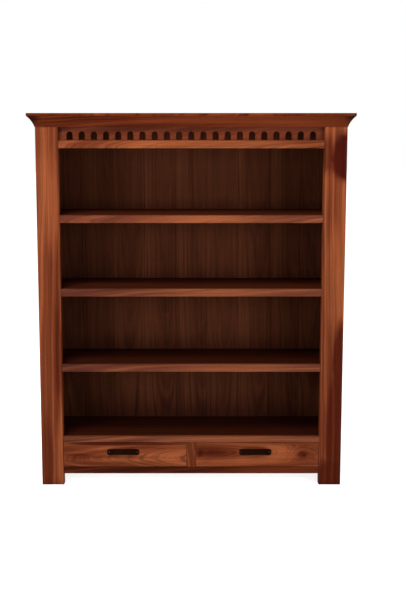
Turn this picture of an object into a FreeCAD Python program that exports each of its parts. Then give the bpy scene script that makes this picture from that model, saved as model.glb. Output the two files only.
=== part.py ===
import FreeCAD, Part
import math
import os
import Sketcher

# Bookcase with two bottom drawers. Millimetres, +Z up, front faces -Y,
# origin on the floor under the middle of the whole object.

doc = FreeCAD.newDocument("bookcase")

# ---------------------------------------------------------------- dimensions
dim = doc.addObject("Spreadsheet::Sheet", "dim")
place = doc.addObject("Spreadsheet::Sheet", "place")

DRIVING = [
    # whole case
    ("overallHeight", 1800), ("bodyWidth", 1461), ("caseDepth", 400),
    # posts, which are also the legs
    ("postWidth", 107), ("postDepth", 45), ("rearPostWidth", 60), ("rearPostDepth", 40),
    ("legClear", 56), ("postRound", 2.5), ("edgeRound", 1.5),
    # crown
    ("crownOver", 36), ("crownBoardThick", 13), ("crownDrop", 51),
    ("mouldOut", 33), ("mouldFoot", 2), ("mouldLip", 4), ("mouldStep", 2), ("mouldCove", 115),
    # frieze
    ("friezeHeight", 63), ("friezeRailHeight", 36), ("friezeRecess", 22), ("friezeThick", 12),
    ("friezeTongue", 6),
    ("railDepth", 40), ("archCount", 21), ("archMargin", 38), ("archWidth", 29),
    ("archHeight", 40), ("archSill", 2),
    # joints between rails and posts
    ("tenonLength", 20), ("tenonThick", 10), ("tenonShoulder", 5), ("tenonInset", 7),
    ("rearTenonLength", 15), ("grooveDepth", 8), ("faceSetback", 3),
    # sides
    ("sideRailThick", 24), ("sideTopRailHeight", 135), ("sideBottomRailHeight", 100),
    ("sidePanelRecess", 8), ("sidePanelThick", 12),
    # back
    ("backBoardThick", 12), ("backBoardCount", 9), ("backEndWidth", 127.5),
    ("backTongueThick", 4), ("backTongueLength", 5), ("backPlay", 0.5), ("backBevel", 2),
    ("backRebate", 10), ("backRailThick", 22), ("backRailHeight", 60), ("backScrewInset", 29),
    ("backScrewRadius", 2), ("backScrewLength", 28), ("backHeadRadius", 4), ("backHeadHeight", 2),
    # shelves and drawer deck
    ("shelfTopUpper", 1322), ("shelfTopMiddle", 970), ("shelfTopLower", 602), ("deckLipHeight", 28),
    ("shelfThick", 22), ("lipHeight", 36), ("lipDepth", 24), ("shelfTongue", 8),
    ("cleatWidth", 22), ("cleatHeight", 30),
    # drawer compartment
    ("drawerOpening", 125), ("bottomRailHeight", 34), ("bottomRailSetback", 5),
    ("dividerWidth", 44), ("dividerTenonWidth", 24), ("dividerTenonLength", 10),
    ("runnerThick", 18), ("runnerLedge", 20), ("runnerReach", 36), ("guideHeight", 25),
    ("runnerPlay", 0.3), ("guidePlay", 0.5), ("stopWidth", 30), ("stopHeight", 20),
    ("stopThick", 13),
    # drawers
    ("frontGap", 1.5), ("drawerFrontThick", 20), ("drawerSideThick", 12),
    ("drawerSideHeight", 108), ("sideInset", 2), ("tailLength", 14), ("tailRoot", 18),
    ("tailEnd", 24), ("tailPitch", 36), ("bottomThick", 6), ("bottomRise", 10),
    ("bottomGroove", 6), ("backFromEnd", 10), ("backHousing", 4), ("backDrop", 5),
    # pulls
    ("pullHeight", 165), ("pullShift", -10), ("pullHalf", 78), ("plateLength", 28),
    ("plateHalfHeight", 15), ("plateTip", 10), ("plateTaper", 9), ("plateThick", 3),
    ("bowHalf", 62), ("bowOut", 28), ("bowBar", 9), ("bowFoot", 13), ("bowBand", 29),
    ("bowRise", 7), ("screwSpan", 69),
    ("screwRadius", 2), ("screwLength", 18), ("headRadius", 4), ("headHeight", 2),
    # how far a cut starts or ends outside the wood or iron
    ("cutPast", 1),
]

DERIVED = [
    ("frontY", "dim.crownOver / 2 - dim.caseDepth / 2"),
    ("backY", "frontY + dim.caseDepth"),
    ("halfWidth", "dim.bodyWidth / 2"),
    ("openHalf", "halfWidth - dim.postWidth"),
    ("rearOpenHalf", "halfWidth - dim.rearPostWidth"),
    ("postTop", "dim.overallHeight - dim.crownBoardThick"),
    ("mouldBottom", "postTop - dim.crownDrop"),
    ("friezeBottom", "mouldBottom - dim.friezeHeight"),
    ("bottomRailTop", "dim.legClear + dim.bottomRailHeight"),
    ("deckLipBottom", "bottomRailTop + dim.drawerOpening"),
    ("deckTop", "deckLipBottom + dim.deckLipHeight"),
    ("faceY", "frontY + dim.faceSetback"),
    ("friezeY", "frontY + dim.friezeRecess"),
    ("archPitch", "(2 * openHalf - 2 * dim.archMargin - dim.archWidth) / (dim.archCount - 1)"),
    ("postBackY", "frontY + dim.postDepth"),
    ("rearPostY", "backY - dim.rearPostDepth"),
    ("boardFrontY", "backY - dim.backBoardThick"),
    ("backHalf", "rearOpenHalf + dim.backRebate"),
    ("backBoardWidth", "2 * (backHalf - dim.backEndWidth) / (dim.backBoardCount - 2)"),
    ("panelOuterX", "halfWidth - dim.sidePanelRecess"),
    ("panelInnerX", "panelOuterX - dim.sidePanelThick"),
    ("sideRailX", "halfWidth - dim.sideRailThick"),
    ("sideSpan", "rearPostY - postBackY"),
    ("sideBottomRailTop", "dim.legClear + dim.sideBottomRailHeight"),
    ("sideTopRailBottom", "postTop - dim.sideTopRailHeight"),
    ("grooveFrom", "dim.sideRailThick - dim.sidePanelRecess - dim.sidePanelThick"),
    ("grooveTo", "dim.sideRailThick - dim.sidePanelRecess"),
    ("lipBackY", "faceY + dim.lipDepth"),
    ("backRailY", "boardFrontY - dim.backRailThick"),
    ("bottomRailY", "frontY + dim.bottomRailSetback"),
    ("dividerTenonY", "bottomRailY + dim.tenonShoulder"),
    ("drawerOpenWidth", "openHalf - dim.dividerWidth / 2"),
    ("drawerX", "dim.dividerWidth / 2 + drawerOpenWidth / 2"),
    ("drawerZ", "bottomRailTop + dim.frontGap"),
    ("frontHalf", "drawerOpenWidth / 2 - dim.frontGap"),
    ("frontHeight", "dim.drawerOpening - 2 * dim.frontGap"),
    ("boxHalf", "frontHalf - dim.sideInset"),
    ("boxInner", "boxHalf - dim.drawerSideThick"),
    ("boxOuterX", "drawerX + boxHalf"),
    ("boxNearX", "drawerX - boxHalf"),
    ("runnerTop", "drawerZ - dim.runnerPlay"),
    ("runnerSpan", "backRailY - postBackY"),
    ("drawerLength", "backRailY - faceY - dim.stopThick"),
    ("pullZ", "dim.pullHeight - drawerZ"),
]

for row, (name, number) in enumerate(DRIVING, 1):
    dim.set("A%d" % row, name)
    dim.set("B%d" % row, str(number))
    dim.setAlias("B%d" % row, name)
doc.recompute()
for row, (name, formula) in enumerate(DERIVED, 1):
    place.set("A%d" % row, name)
    place.set("B%d" % row, "=" + formula)
    place.setAlias("B%d" % row, name)
doc.recompute()

# ------------------------------------------------------------------- helpers
NORMAL = {"XY": 1, "XZ": -1, "YZ": 1}
HALF = "half"


def amount(expression):
    """Number that an expression gives now."""
    found = dim.evalExpression(str(expression))
    return float(getattr(found, "Value", found))


def new_body(label, x="0", y="0", z="0"):
    """Empty body whose own origin sits at x, y, z of the object."""
    body = doc.addObject("PartDesign::Body", label)
    body.Label = label
    for axis, expression in (("x", x), ("y", y), ("z", z)):
        body.setExpression("Placement.Base." + axis, expression)
    doc.recompute()
    return body


def origin_plane(body, plane):
    for feature in body.Origin.OriginFeatures:
        if feature.Role == plane + "_Plane":
            return feature


def runs_forward(corner):
    """True where the segment that leaves a corner also starts there: arcs run anticlockwise."""
    return len(corner) < 3 or corner[2][1] < 0


def bound_sketch(body, name, plane, at, loops):
    """Sketch whose every corner is held by expressions.

    A loop is a list of (across, up) corners. A third entry (radius, bulge)
    makes the segment that leaves that corner an arc; bulge 1 lies to the left.
    The radius HALF makes a half circle over a level chord.
    """
    sketch = body.newObject("Sketcher::SketchObject", name)
    sketch.AttachmentSupport = (origin_plane(body, plane), "")
    sketch.MapMode = "FlatFace"
    sign = "-" if NORMAL[plane] < 0 else ""
    sketch.setExpression("AttachmentOffset.Base.z", "%s(%s)" % (sign, at))
    for loop in loops:
        first = sketch.GeometryCount
        corners = [(amount(corner[0]), amount(corner[1])) for corner in loop]
        for index, corner in enumerate(loop):
            begin = FreeCAD.Vector(*corners[index], 0)
            end = FreeCAD.Vector(*corners[(index + 1) % len(loop)], 0)
            if len(corner) < 3:
                sketch.addGeometry(Part.LineSegment(begin, end), False)
                continue
            chord = end - begin
            radius, bulge = chord.Length / 2, corner[2][1]
            if corner[2][0] != HALF:
                radius = amount(corner[2][0])
            depth = math.sqrt(max(radius ** 2 - (chord.Length / 2) ** 2, 0))
            left = FreeCAD.Vector(-chord.y, chord.x, 0).normalize()
            centre = (begin + end) * 0.5 - left * depth * bulge
            start, stop = (begin, end) if runs_forward(corner) else (end, begin)
            angles = [math.atan2(point.y - centre.y, point.x - centre.x) for point in (start, stop)]
            if angles[1] <= angles[0]:
                angles[1] += 2 * math.pi
            circle = Part.Circle(centre, FreeCAD.Vector(0, 0, 1), radius)
            sketch.addGeometry(Part.ArcOfCircle(circle, *angles), False)
        for index, corner in enumerate(loop):
            following = (index + 1) % len(loop)
            sketch.addConstraint(Sketcher.Constraint(
                "Coincident", first + index, 2 if runs_forward(corner) else 1,
                first + following, 1 if runs_forward(loop[following]) else 2))
        for index, corner in enumerate(loop):
            here = first + index
            point = 1 if runs_forward(corner) else 2
            for kind, expression, value in (("DistanceX", corner[0], corners[index][0]),
                                            ("DistanceY", corner[1], corners[index][1])):
                number = sketch.addConstraint(Sketcher.Constraint(kind, -1, 1, here, point, value))
                sketch.setExpression("Constraints[%d]" % number, str(expression))
            if len(corner) > 2 and corner[2][0] == HALF:
                number = sketch.addConstraint(
                    Sketcher.Constraint("DistanceY", -1, 1, here, 3, corners[index][1]))
                sketch.setExpression("Constraints[%d]" % number, str(corner[1]))
            elif len(corner) > 2:
                number = sketch.addConstraint(
                    Sketcher.Constraint("Radius", here, amount(corner[2][0])))
                sketch.setExpression("Constraints[%d]" % number, str(corner[2][0]))
    return sketch


def volume(body):
    return body.Shape.Volume if body.Tip else 0.0


def grow(body, name, plane, at, length, loops, toward=1):
    """Pad that starts at a height along the plane's axis and runs toward + or -."""
    before = volume(body)
    sketch = bound_sketch(body, name + "_sketch", plane, at, loops)
    pad = body.newObject("PartDesign::Pad", name)
    pad.Profile = sketch
    pad.setExpression("Length", length)
    pad.Reversed = toward * NORMAL[plane] < 0
    sketch.Visibility = False
    doc.recompute()
    if volume(body) <= before:
        raise ValueError(name + " adds nothing")
    return pad


def cut(body, name, plane, at, length, loops, toward=1):
    """Pocket that starts at a height along the plane's axis and runs toward + or -."""
    before = volume(body)
    sketch = bound_sketch(body, name + "_sketch", plane, at, loops)
    pocket = body.newObject("PartDesign::Pocket", name)
    pocket.Profile = sketch
    pocket.setExpression("Length", length)
    pocket.Reversed = toward * NORMAL[plane] > 0
    sketch.Visibility = False
    doc.recompute()
    if volume(body) >= before:
        raise ValueError(name + " removes nothing")
    return pocket


def box_loop(x0, x1, y0, y1):
    return [(x0, y0), (x1, y0), (x1, y1), (x0, y1)]


def ease(body, name, radius, axis, wanted):
    """Round the straight edges along an axis whose middle the test wants."""
    base = body.Tip
    names = []
    for number, edge in enumerate(base.Shape.Edges, 1):
        if edge.Curve.TypeId != "Part::GeomLine":
            continue
        run = edge.Vertexes[-1].Point - edge.Vertexes[0].Point
        if abs(abs(run.normalize()[axis]) - 1) > 1e-6:
            continue
        if wanted(edge.CenterOfMass):
            names.append("Edge%d" % number)
    if not names:
        raise ValueError(name + " finds no edge")
    fillet = body.newObject("PartDesign::Fillet", name)
    fillet.Base = (base, names)
    fillet.setExpression("Radius", radius)
    doc.recompute()
    return fillet


def near(value, target):
    return abs(value - target) < 0.01


def mirrored(side, expression):
    return "%d * (%s)" % (side, expression)


def screw_solid(name, at, facing, body, head):
    """Screw along Y with the outer face of its head at a point; facing 1 has its head to the back."""
    parts = []
    for piece, radius, length in (("head", head + "Radius", head + "Height"),
                                  ("shank", body + "Radius", body + "Length")):
        rod = doc.addObject("Part::Cylinder", "%s_%s" % (name, piece))
        rod.setExpression("Radius", "dim." + radius)
        rod.setExpression("Height", "dim." + length)
        rod.Placement.Rotation = FreeCAD.Rotation(FreeCAD.Vector(1, 0, 0), 90 * facing)
        for axis, expression in zip("xyz", at):
            rod.setExpression("Placement.Base." + axis, expression)
        parts.append(rod)
    screw = doc.addObject("Part::Fuse", name)
    screw.Base, screw.Tool = parts
    return screw


SIDES = (("left", -1), ("right", 1))
SHELVES = (("upper", "dim.shelfTopUpper", "dim.lipHeight"),
           ("middle", "dim.shelfTopMiddle", "dim.lipHeight"),
           ("lower", "dim.shelfTopLower", "dim.lipHeight"),
           ("deck", "place.deckTop", "dim.deckLipHeight"))

# Rails and lips that are tenoned into the front posts:
# name, top, height, front face, inset of the tenon behind that face
FRONT_RAILS = [("top_rail_front", "place.postTop", "dim.crownDrop", "place.frontY"),
               ("frieze_rail", "place.friezeBottom", "dim.friezeRailHeight", "place.faceY"),
               ("bottom_rail", "place.bottomRailTop", "dim.bottomRailHeight", "place.bottomRailY")]
for level, top, height in SHELVES:
    FRONT_RAILS.append((level + "_lip", top, height, "place.faceY"))

# --------------------------------------------------------------- front posts
for side_name, side in SIDES:
    label = "post_front_" + side_name
    post = new_body(label, mirrored(side, "place.openHalf"), "place.frontY")
    grow(post, label + "_blank", "XY", "0", "place.postTop",
         [box_loop("0", mirrored(side, "dim.postWidth"), "0", "dim.postDepth")])
    cut(post, label + "_groove", "XY", "dim.legClear", "place.postTop - dim.legClear",
        [box_loop(mirrored(side, "place.panelInnerX - place.openHalf"),
                  mirrored(side, "place.panelOuterX - place.openHalf"),
                  "dim.postDepth - dim.grooveDepth", "dim.postDepth")])
    mortises = []
    for name, top, height, front in FRONT_RAILS:
        y0 = "%s + dim.tenonInset - place.frontY" % front
        mortises.append(box_loop(y0, y0 + " + dim.tenonThick",
                                 "%s - %s + dim.tenonShoulder" % (top, height),
                                 "%s - dim.tenonShoulder" % top))
    cut(post, label + "_mortises", "YZ", "0", "dim.tenonLength", mortises, side)
    ease(post, label + "_round", "dim.postRound", 2,
         lambda point: near(point.y, 0))

# ---------------------------------------------------------------- rear posts
BACK_RAILS = (("back_rail_top", "place.postTop - dim.backRailHeight"),
              ("back_rail_bottom", "dim.legClear"))

for side_name, side in SIDES:
    label = "post_rear_" + side_name
    post = new_body(label, mirrored(side, "place.rearOpenHalf"), "place.rearPostY")
    grow(post, label + "_blank", "XY", "0", "place.postTop",
         [box_loop("0", mirrored(side, "dim.rearPostWidth"), "0", "dim.rearPostDepth")])
    cut(post, label + "_groove", "XY", "dim.legClear", "place.postTop - dim.legClear",
        [box_loop(mirrored(side, "place.panelInnerX - place.rearOpenHalf"),
                  mirrored(side, "place.panelOuterX - place.rearOpenHalf"),
                  "0", "dim.grooveDepth")])
    cut(post, label + "_rebate", "XY", "dim.legClear", "place.postTop - dim.legClear",
        [box_loop("0", mirrored(side, "dim.backRebate"),
                  "dim.rearPostDepth - dim.backBoardThick", "dim.rearPostDepth")])
    y0 = "place.backRailY - place.rearPostY + (dim.backRailThick - dim.tenonThick) / 2"
    cut(post, label + "_mortises", "YZ", "0", "dim.rearTenonLength",
        [box_loop(y0, y0 + " + dim.tenonThick", z + " + dim.tenonShoulder",
                  z + " + dim.backRailHeight - dim.tenonShoulder") for name, z in BACK_RAILS], side)
    outer, rear = side * amount("dim.rearPostWidth"), amount("dim.rearPostDepth")
    ease(post, label + "_round", "dim.postRound", 2,
         lambda point: near(point.x, outer) and near(point.y, rear))

# ---------------------------------------------------- side rails and panels
for side_name, side in SIDES:
    for where, z0, height, slot in (
            ("top", "place.sideTopRailBottom", "dim.sideTopRailHeight", "0"),
            ("bottom", "dim.legClear", "dim.sideBottomRailHeight",
             "dim.sideBottomRailHeight - dim.grooveDepth")):
        label = "side_rail_%s_%s" % (where, side_name)
        rail = new_body(label, mirrored(side, "place.sideRailX"), "place.postBackY", z0)
        grow(rail, label + "_blank", "XY", "0", height,
             [box_loop("0", mirrored(side, "dim.sideRailThick"), "0", "place.sideSpan")])
        x0, x1 = mirrored(side, "place.grooveFrom"), mirrored(side, "place.grooveTo")
        grow(rail, label + "_tongues", "XY", "0", height,
             [box_loop(x0, x1, "-dim.grooveDepth", "0"),
              box_loop(x0, x1, "place.sideSpan", "place.sideSpan + dim.grooveDepth")])
        cut(rail, label + "_groove", "XY", slot, "dim.grooveDepth",
            [box_loop(x0, x1, "-dim.grooveDepth", "place.sideSpan + dim.grooveDepth")])
    label = "side_panel_" + side_name
    panel = new_body(label, mirrored(side, "place.panelInnerX"),
                     "place.postBackY - dim.grooveDepth",
                     "place.sideBottomRailTop - dim.grooveDepth")
    grow(panel, label + "_board", "XY", "0",
         "place.sideTopRailBottom - place.sideBottomRailTop + 2 * dim.grooveDepth",
         [box_loop("0", mirrored(side, "dim.sidePanelThick"),
                   "0", "place.sideSpan + 2 * dim.grooveDepth")])

# ------------------------------------------------- front rails, frieze, crown


def front_rail(label, top, height, front, depth):
    """Rail between the front posts with a stub tenon at each end."""
    rail = new_body(label, "0", front, "%s - %s" % (top, height))
    grow(rail, label + "_blank", "XY", "0", height,
         [box_loop("-place.openHalf", "place.openHalf", "0", depth)])
    grow(rail, label + "_tenons", "XY", "dim.tenonShoulder", "%s - 2 * dim.tenonShoulder" % height,
         [box_loop("%s" % inner, "%s + %s" % (inner, run), "dim.tenonInset",
                   "dim.tenonInset + dim.tenonThick")
          for inner, run in (("-place.openHalf - dim.tenonLength", "dim.tenonLength"),
                             ("place.openHalf", "dim.tenonLength"))])
    return rail


rail = front_rail("top_rail_front", "place.postTop", "dim.crownDrop", "place.frontY", "dim.railDepth")
cut(rail, "top_rail_front_groove", "XY", "0", "dim.friezeTongue",
    [box_loop("-place.openHalf", "place.openHalf", "dim.friezeRecess",
              "dim.friezeRecess + dim.friezeThick")])

rail = front_rail("frieze_rail", "place.friezeBottom", "dim.friezeRailHeight", "place.faceY",
                  "dim.railDepth")
slot = "place.friezeY - place.faceY"
cut(rail, "frieze_rail_groove", "XY", "dim.friezeRailHeight - dim.friezeTongue", "dim.friezeTongue",
    [box_loop("-place.openHalf", "place.openHalf", slot, slot + " + dim.friezeThick")])
ease(rail, "frieze_rail_round", "dim.edgeRound", 0, lambda point: near(point.y, 0))

board = new_body("frieze_board", "0", "place.friezeY", "place.friezeBottom - dim.friezeTongue")
grow(board, "frieze_board_blank", "XY", "0", "dim.friezeHeight + 2 * dim.friezeTongue",
     [box_loop("-place.openHalf", "place.openHalf", "0", "dim.friezeThick")])
left_edge = "-place.archPitch * (dim.archCount - 1) / 2 - dim.archWidth / 2"
right_edge = "-place.archPitch * (dim.archCount - 1) / 2 + dim.archWidth / 2"
sill = "dim.friezeTongue + dim.archSill"
spring = sill + " + dim.archHeight - dim.archWidth / 2"
arch = cut(board, "frieze_arch", "XZ", "0", "dim.friezeThick",
           [[(left_edge, sill), (right_edge, sill), (right_edge, spring, (HALF, -1)),
             (left_edge, spring)]])
row = board.newObject("PartDesign::LinearPattern", "frieze_arches")
row.Originals = [arch]
for feature in board.Origin.OriginFeatures:
    if feature.Role == "X_Axis":
        row.Direction = (feature, [""])
row.setExpression("Length", "place.archPitch * (dim.archCount - 1)")
row.setExpression("Occurrences", "dim.archCount")
board.Tip = row
doc.recompute()

crown = new_body("crown_board", "0", "place.frontY - dim.crownOver", "place.postTop")
grow(crown, "crown_board_blank", "XY", "0", "dim.crownBoardThick",
     [box_loop("-place.halfWidth - dim.crownOver", "place.halfWidth + dim.crownOver",
               "0", "dim.caseDepth + dim.crownOver")])
ease(crown, "crown_board_round_front", "dim.edgeRound", 0, lambda point: near(point.y, 0))


def mould_profile(sign):
    """Cove section: across is the distance out of the case, up is height."""
    foot, lip = mirrored(sign, "dim.mouldFoot"), mirrored(sign, "dim.mouldOut")
    return [("0", "0"), (foot, "0"), (foot, "dim.mouldFoot", ("dim.mouldCove", sign)),
            (mirrored(sign, "dim.mouldOut - dim.mouldStep"), "dim.crownDrop - dim.mouldLip"),
            (lip, "dim.crownDrop - dim.mouldLip"), (lip, "dim.crownDrop"), ("0", "dim.crownDrop")]


mould = new_body("crown_mould_front", "0", "place.frontY", "place.mouldBottom")
end = "place.halfWidth + dim.mouldOut"
grow(mould, "crown_mould_front_run", "YZ", "-(%s)" % end, "2 * (%s)" % end, [mould_profile(-1)])
cut(mould, "crown_mould_front_mitres", "XY", "0", "dim.crownDrop",
    [[(mirrored(side, "place.halfWidth"), "0"), (mirrored(side, end), "-dim.mouldOut"),
      (mirrored(side, end + " + dim.cutPast"), "-dim.mouldOut"),
      (mirrored(side, end + " + dim.cutPast"), "0")] for side in (-1, 1)])

for side_name, side in SIDES:
    label = "crown_mould_" + side_name
    mould = new_body(label, mirrored(side, "place.halfWidth"), "place.frontY", "place.mouldBottom")
    grow(mould, label + "_run", "XZ", "-dim.mouldOut", "dim.caseDepth + dim.mouldOut",
         [mould_profile(side)])
    cut(mould, label + "_mitre", "XY", "0", "dim.crownDrop",
        [[("0", "0"), (mirrored(side, "dim.mouldOut"), "-dim.mouldOut"),
          (mirrored(side, "dim.mouldOut"), "-dim.mouldOut - dim.cutPast"),
          ("0", "-dim.mouldOut - dim.cutPast")]])

# ------------------------------------------------------ shelves and the deck
for level, top, height in SHELVES:
    label = level + "_lip"
    lip = front_rail(label, top, height, "place.faceY", "dim.lipDepth")
    tongue_up = "(dim.shelfThick - dim.shelfTongue) / 2"
    cut(lip, label + "_groove", "XY", "%s - dim.shelfThick + %s" % (height, tongue_up),
        "dim.shelfTongue", [box_loop("-place.openHalf", "place.openHalf",
                                     "dim.lipDepth - dim.shelfTongue", "dim.lipDepth")])
    if level == "deck":
        cut(lip, label + "_mortise", "XY", "0", "dim.dividerTenonLength",
            [box_loop("-dim.dividerTenonWidth / 2", "dim.dividerTenonWidth / 2",
                      "place.dividerTenonY - place.faceY",
                      "place.dividerTenonY - place.faceY + dim.tenonThick")])
    ease(lip, label + "_round", "dim.edgeRound", 0, lambda point: near(point.y, 0))

    label = level + "_board"
    board = new_body(label, "0", "place.lipBackY", "%s - dim.shelfThick" % top)
    post_back, rear_front = "place.postBackY - place.lipBackY", "place.rearPostY - place.lipBackY"
    rear = "place.boardFrontY - place.lipBackY"
    half = [("place.openHalf", "0"), ("place.openHalf", post_back), ("place.panelInnerX", post_back),
            ("place.panelInnerX", rear_front), ("place.rearOpenHalf", rear_front),
            ("place.rearOpenHalf", rear)]
    grow(board, label + "_plank", "XY", "0", "dim.shelfThick",
         [half + [("-" + x, y) for x, y in reversed(half)]])
    grow(board, label + "_tongue", "XY", tongue_up, "dim.shelfTongue",
         [box_loop("-place.openHalf", "place.openHalf", "-dim.shelfTongue", "0")])

# Cleats under the shelf ends, one group of four on each side
for side_name, side in SIDES:
    cleats = []
    for level, top, height in SHELVES:
        cleat = doc.addObject("Part::Box", "cleat_%s_%s" % (level, side_name))
        cleat.setExpression("Length", "dim.cleatWidth")
        cleat.setExpression("Width", "place.sideSpan")
        cleat.setExpression("Height", "dim.cleatHeight")
        inner = "place.panelInnerX - dim.cleatWidth" if side > 0 else "-place.panelInnerX"
        cleat.setExpression("Placement.Base.x", inner)
        cleat.setExpression("Placement.Base.y", "place.postBackY")
        cleat.setExpression("Placement.Base.z", "%s - dim.shelfThick - dim.cleatHeight" % top)
        cleats.append(cleat)
    group = doc.addObject("Part::Compound", "shelf_cleats_" + side_name)
    group.Label = "shelf_cleats_" + side_name
    group.Links = cleats

# ---------------------------------------------------------------------- back


def ring(x, z, radius):
    """Circle as two half circles."""
    return [(x + " - " + radius, z, (HALF, -1)), (x + " + " + radius, z, (HALF, -1))]


def board_edges(number):
    """Left and right edge of a back board, from the middle of the case."""
    left = "place.backBoardWidth * %.1f" % (number - 1 - board_count / 2)
    right = "place.backBoardWidth * %.1f" % (number - board_count / 2)
    if number == 1:
        left = "-place.backHalf"
    if number == board_count:
        right = "place.backHalf"
    return left, right


board_count = round(amount("dim.backBoardCount"))
screw_x = []
for number in range(1, board_count + 1):
    left, right = board_edges(number)
    screw_x += [left + " + dim.backScrewInset", right + " - dim.backScrewInset"]
screw_z = [z0 + " + dim.backRailHeight / 2" for label, z0 in BACK_RAILS]

for label, z0 in BACK_RAILS:
    rail = new_body(label, "0", "place.backRailY", z0)
    grow(rail, label + "_blank", "XY", "0", "dim.backRailHeight",
         [box_loop("-place.rearOpenHalf", "place.rearOpenHalf", "0", "dim.backRailThick")])
    y0 = "(dim.backRailThick - dim.tenonThick) / 2"
    grow(rail, label + "_tenons", "XY", "dim.tenonShoulder",
         "dim.backRailHeight - 2 * dim.tenonShoulder",
         [box_loop("-place.rearOpenHalf - dim.rearTenonLength", "-place.rearOpenHalf",
                   y0, y0 + " + dim.tenonThick"),
          box_loop("place.rearOpenHalf", "place.rearOpenHalf + dim.rearTenonLength",
                   y0, y0 + " + dim.tenonThick")])
    depth = "dim.backScrewLength - dim.backBoardThick"
    cut(rail, label + "_pilots", "XZ", "dim.backRailThick", depth,
        [ring(x, "dim.backRailHeight / 2", "dim.backScrewRadius") for x in screw_x], -1)

for number in range(1, board_count + 1):
    label = "back_board_%d" % number
    left, right = board_edges(number)
    width = "%s - (%s)" % (right, left)
    board = new_body(label, left, "place.boardFrontY", "dim.legClear")
    tongue0 = "(dim.backBoardThick - dim.backTongueThick) / 2"
    tongue1 = "(dim.backBoardThick + dim.backTongueThick) / 2"
    outline = []
    if number == 1:
        outline += [("0", "dim.backBoardThick"), ("0", "0")]
    else:
        slot = "dim.backTongueLength + dim.backPlay"
        outline += [("0", "dim.backBoardThick"), ("0", tongue1), (slot, tongue1), (slot, tongue0),
                    ("0", tongue0), ("0", "dim.backBevel"), ("dim.backBevel", "0")]
    if number == board_count:
        outline += [(width, "0"), (width, "dim.backBoardThick")]
    else:
        reach = width + " + dim.backTongueLength"
        outline += [(width + " - dim.backBevel", "0"), (width, "dim.backBevel"), (width, tongue0),
                    (reach, tongue0), (reach, tongue1), (width, tongue1),
                    (width, "dim.backBoardThick")]
    grow(board, label + "_board", "XY", "0", "place.postTop - dim.legClear", [outline])
    spots = [(x, z + " - dim.legClear") for z in screw_z
             for x in ("dim.backScrewInset", width + " - dim.backScrewInset")]
    cut(board, label + "_holes", "XZ", "0", "dim.backBoardThick",
        [ring(x, z, "dim.backScrewRadius") for x, z in spots])
    cut(board, label + "_sinks", "XZ", "dim.backBoardThick", "dim.backHeadHeight",
        [ring(x, z, "dim.backHeadRadius") for x, z in spots], -1)

screws = []
for x in screw_x:
    for z in screw_z:
        screws.append(screw_solid("back_screw_%d" % (len(screws) + 1), (x, "place.backY", z), 1,
                                  "backScrew", "backHead"))
group = doc.addObject("Part::Compound", "back_screws")
group.Label = "back_screws"
group.Links = screws

# ------------------------------------------------- drawer compartment timber
rail = front_rail("bottom_rail", "place.bottomRailTop", "dim.bottomRailHeight", "place.bottomRailY",
                  "dim.postDepth - dim.bottomRailSetback")
cut(rail, "bottom_rail_mortise", "XY", "dim.bottomRailHeight - dim.dividerTenonLength",
    "dim.dividerTenonLength",
    [box_loop("-dim.dividerTenonWidth / 2", "dim.dividerTenonWidth / 2",
              "dim.tenonShoulder", "dim.tenonShoulder + dim.tenonThick")])
ease(rail, "bottom_rail_round", "dim.edgeRound", 0, lambda point: near(point.y, 0))

divider = new_body("drawer_divider", "0", "place.faceY", "place.bottomRailTop")
grow(divider, "drawer_divider_blank", "XY", "0", "dim.drawerOpening",
     [box_loop("-dim.dividerWidth / 2", "dim.dividerWidth / 2",
               "0", "place.postBackY - place.faceY")])
y0 = "place.dividerTenonY - place.faceY"
grow(divider, "drawer_divider_tenon", "XY", "-dim.dividerTenonLength",
     "dim.drawerOpening + 2 * dim.dividerTenonLength",
     [box_loop("-dim.dividerTenonWidth / 2", "dim.dividerTenonWidth / 2",
               y0, y0 + " + dim.tenonThick")])
ease(divider, "drawer_divider_round", "dim.edgeRound", 2, lambda point: near(point.y, 0))

rise = "dim.runnerThick"
guide_top = "dim.runnerThick + dim.guideHeight"
for side_name, side in SIDES:
    label = "drawer_runner_" + side_name
    runner = new_body(label, mirrored(side, "place.boxOuterX"), "place.postBackY",
                      "place.runnerTop - dim.runnerThick")
    ledge, guide = mirrored(side, "-dim.runnerLedge"), mirrored(side, "dim.guidePlay")
    reach = mirrored(side, "dim.runnerReach")
    grow(runner, label + "_bar", "XZ", "0", "place.runnerSpan",
         [[(ledge, "0"), (reach, "0"), (reach, guide_top), (guide, guide_top), (guide, rise),
           (ledge, rise)]])
runner = new_body("drawer_runner_centre", "0", "place.postBackY", "place.runnerTop - dim.runnerThick")
ledge = "place.boxNearX + dim.runnerLedge"
guide = "place.boxNearX - dim.guidePlay"
half = [(ledge, "0"), (ledge, rise), (guide, rise), (guide, guide_top)]
grow(runner, "drawer_runner_centre_bar", "XZ", "0", "place.runnerSpan",
     [half + [("-(%s)" % x, z) for x, z in reversed(half)]])

stops = []
for side_name, side in SIDES:
    for inner, spot in ((True, "place.boxNearX + 2 * dim.runnerLedge"),
                        (False, "place.boxOuterX - 2 * dim.runnerLedge - dim.stopWidth")):
        stop = doc.addObject("Part::Box", "stop_%s_%s" % (side_name, "inner" if inner else "outer"))
        stop.setExpression("Length", "dim.stopWidth")
        stop.setExpression("Width", "dim.stopThick")
        stop.setExpression("Height", "dim.stopHeight")
        spot_x = spot if side > 0 else "-(%s) - dim.stopWidth" % spot
        stop.setExpression("Placement.Base.x", spot_x)
        stop.setExpression("Placement.Base.y", "place.backRailY - dim.stopThick")
        stop.setExpression("Placement.Base.z",
                           "dim.legClear + dim.backRailHeight - dim.stopHeight")
        stops.append(stop)
group = doc.addObject("Part::Compound", "drawer_stops")
group.Label = "drawer_stops"
group.Links = stops

# ------------------------------------------------------------------- drawers


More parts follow.
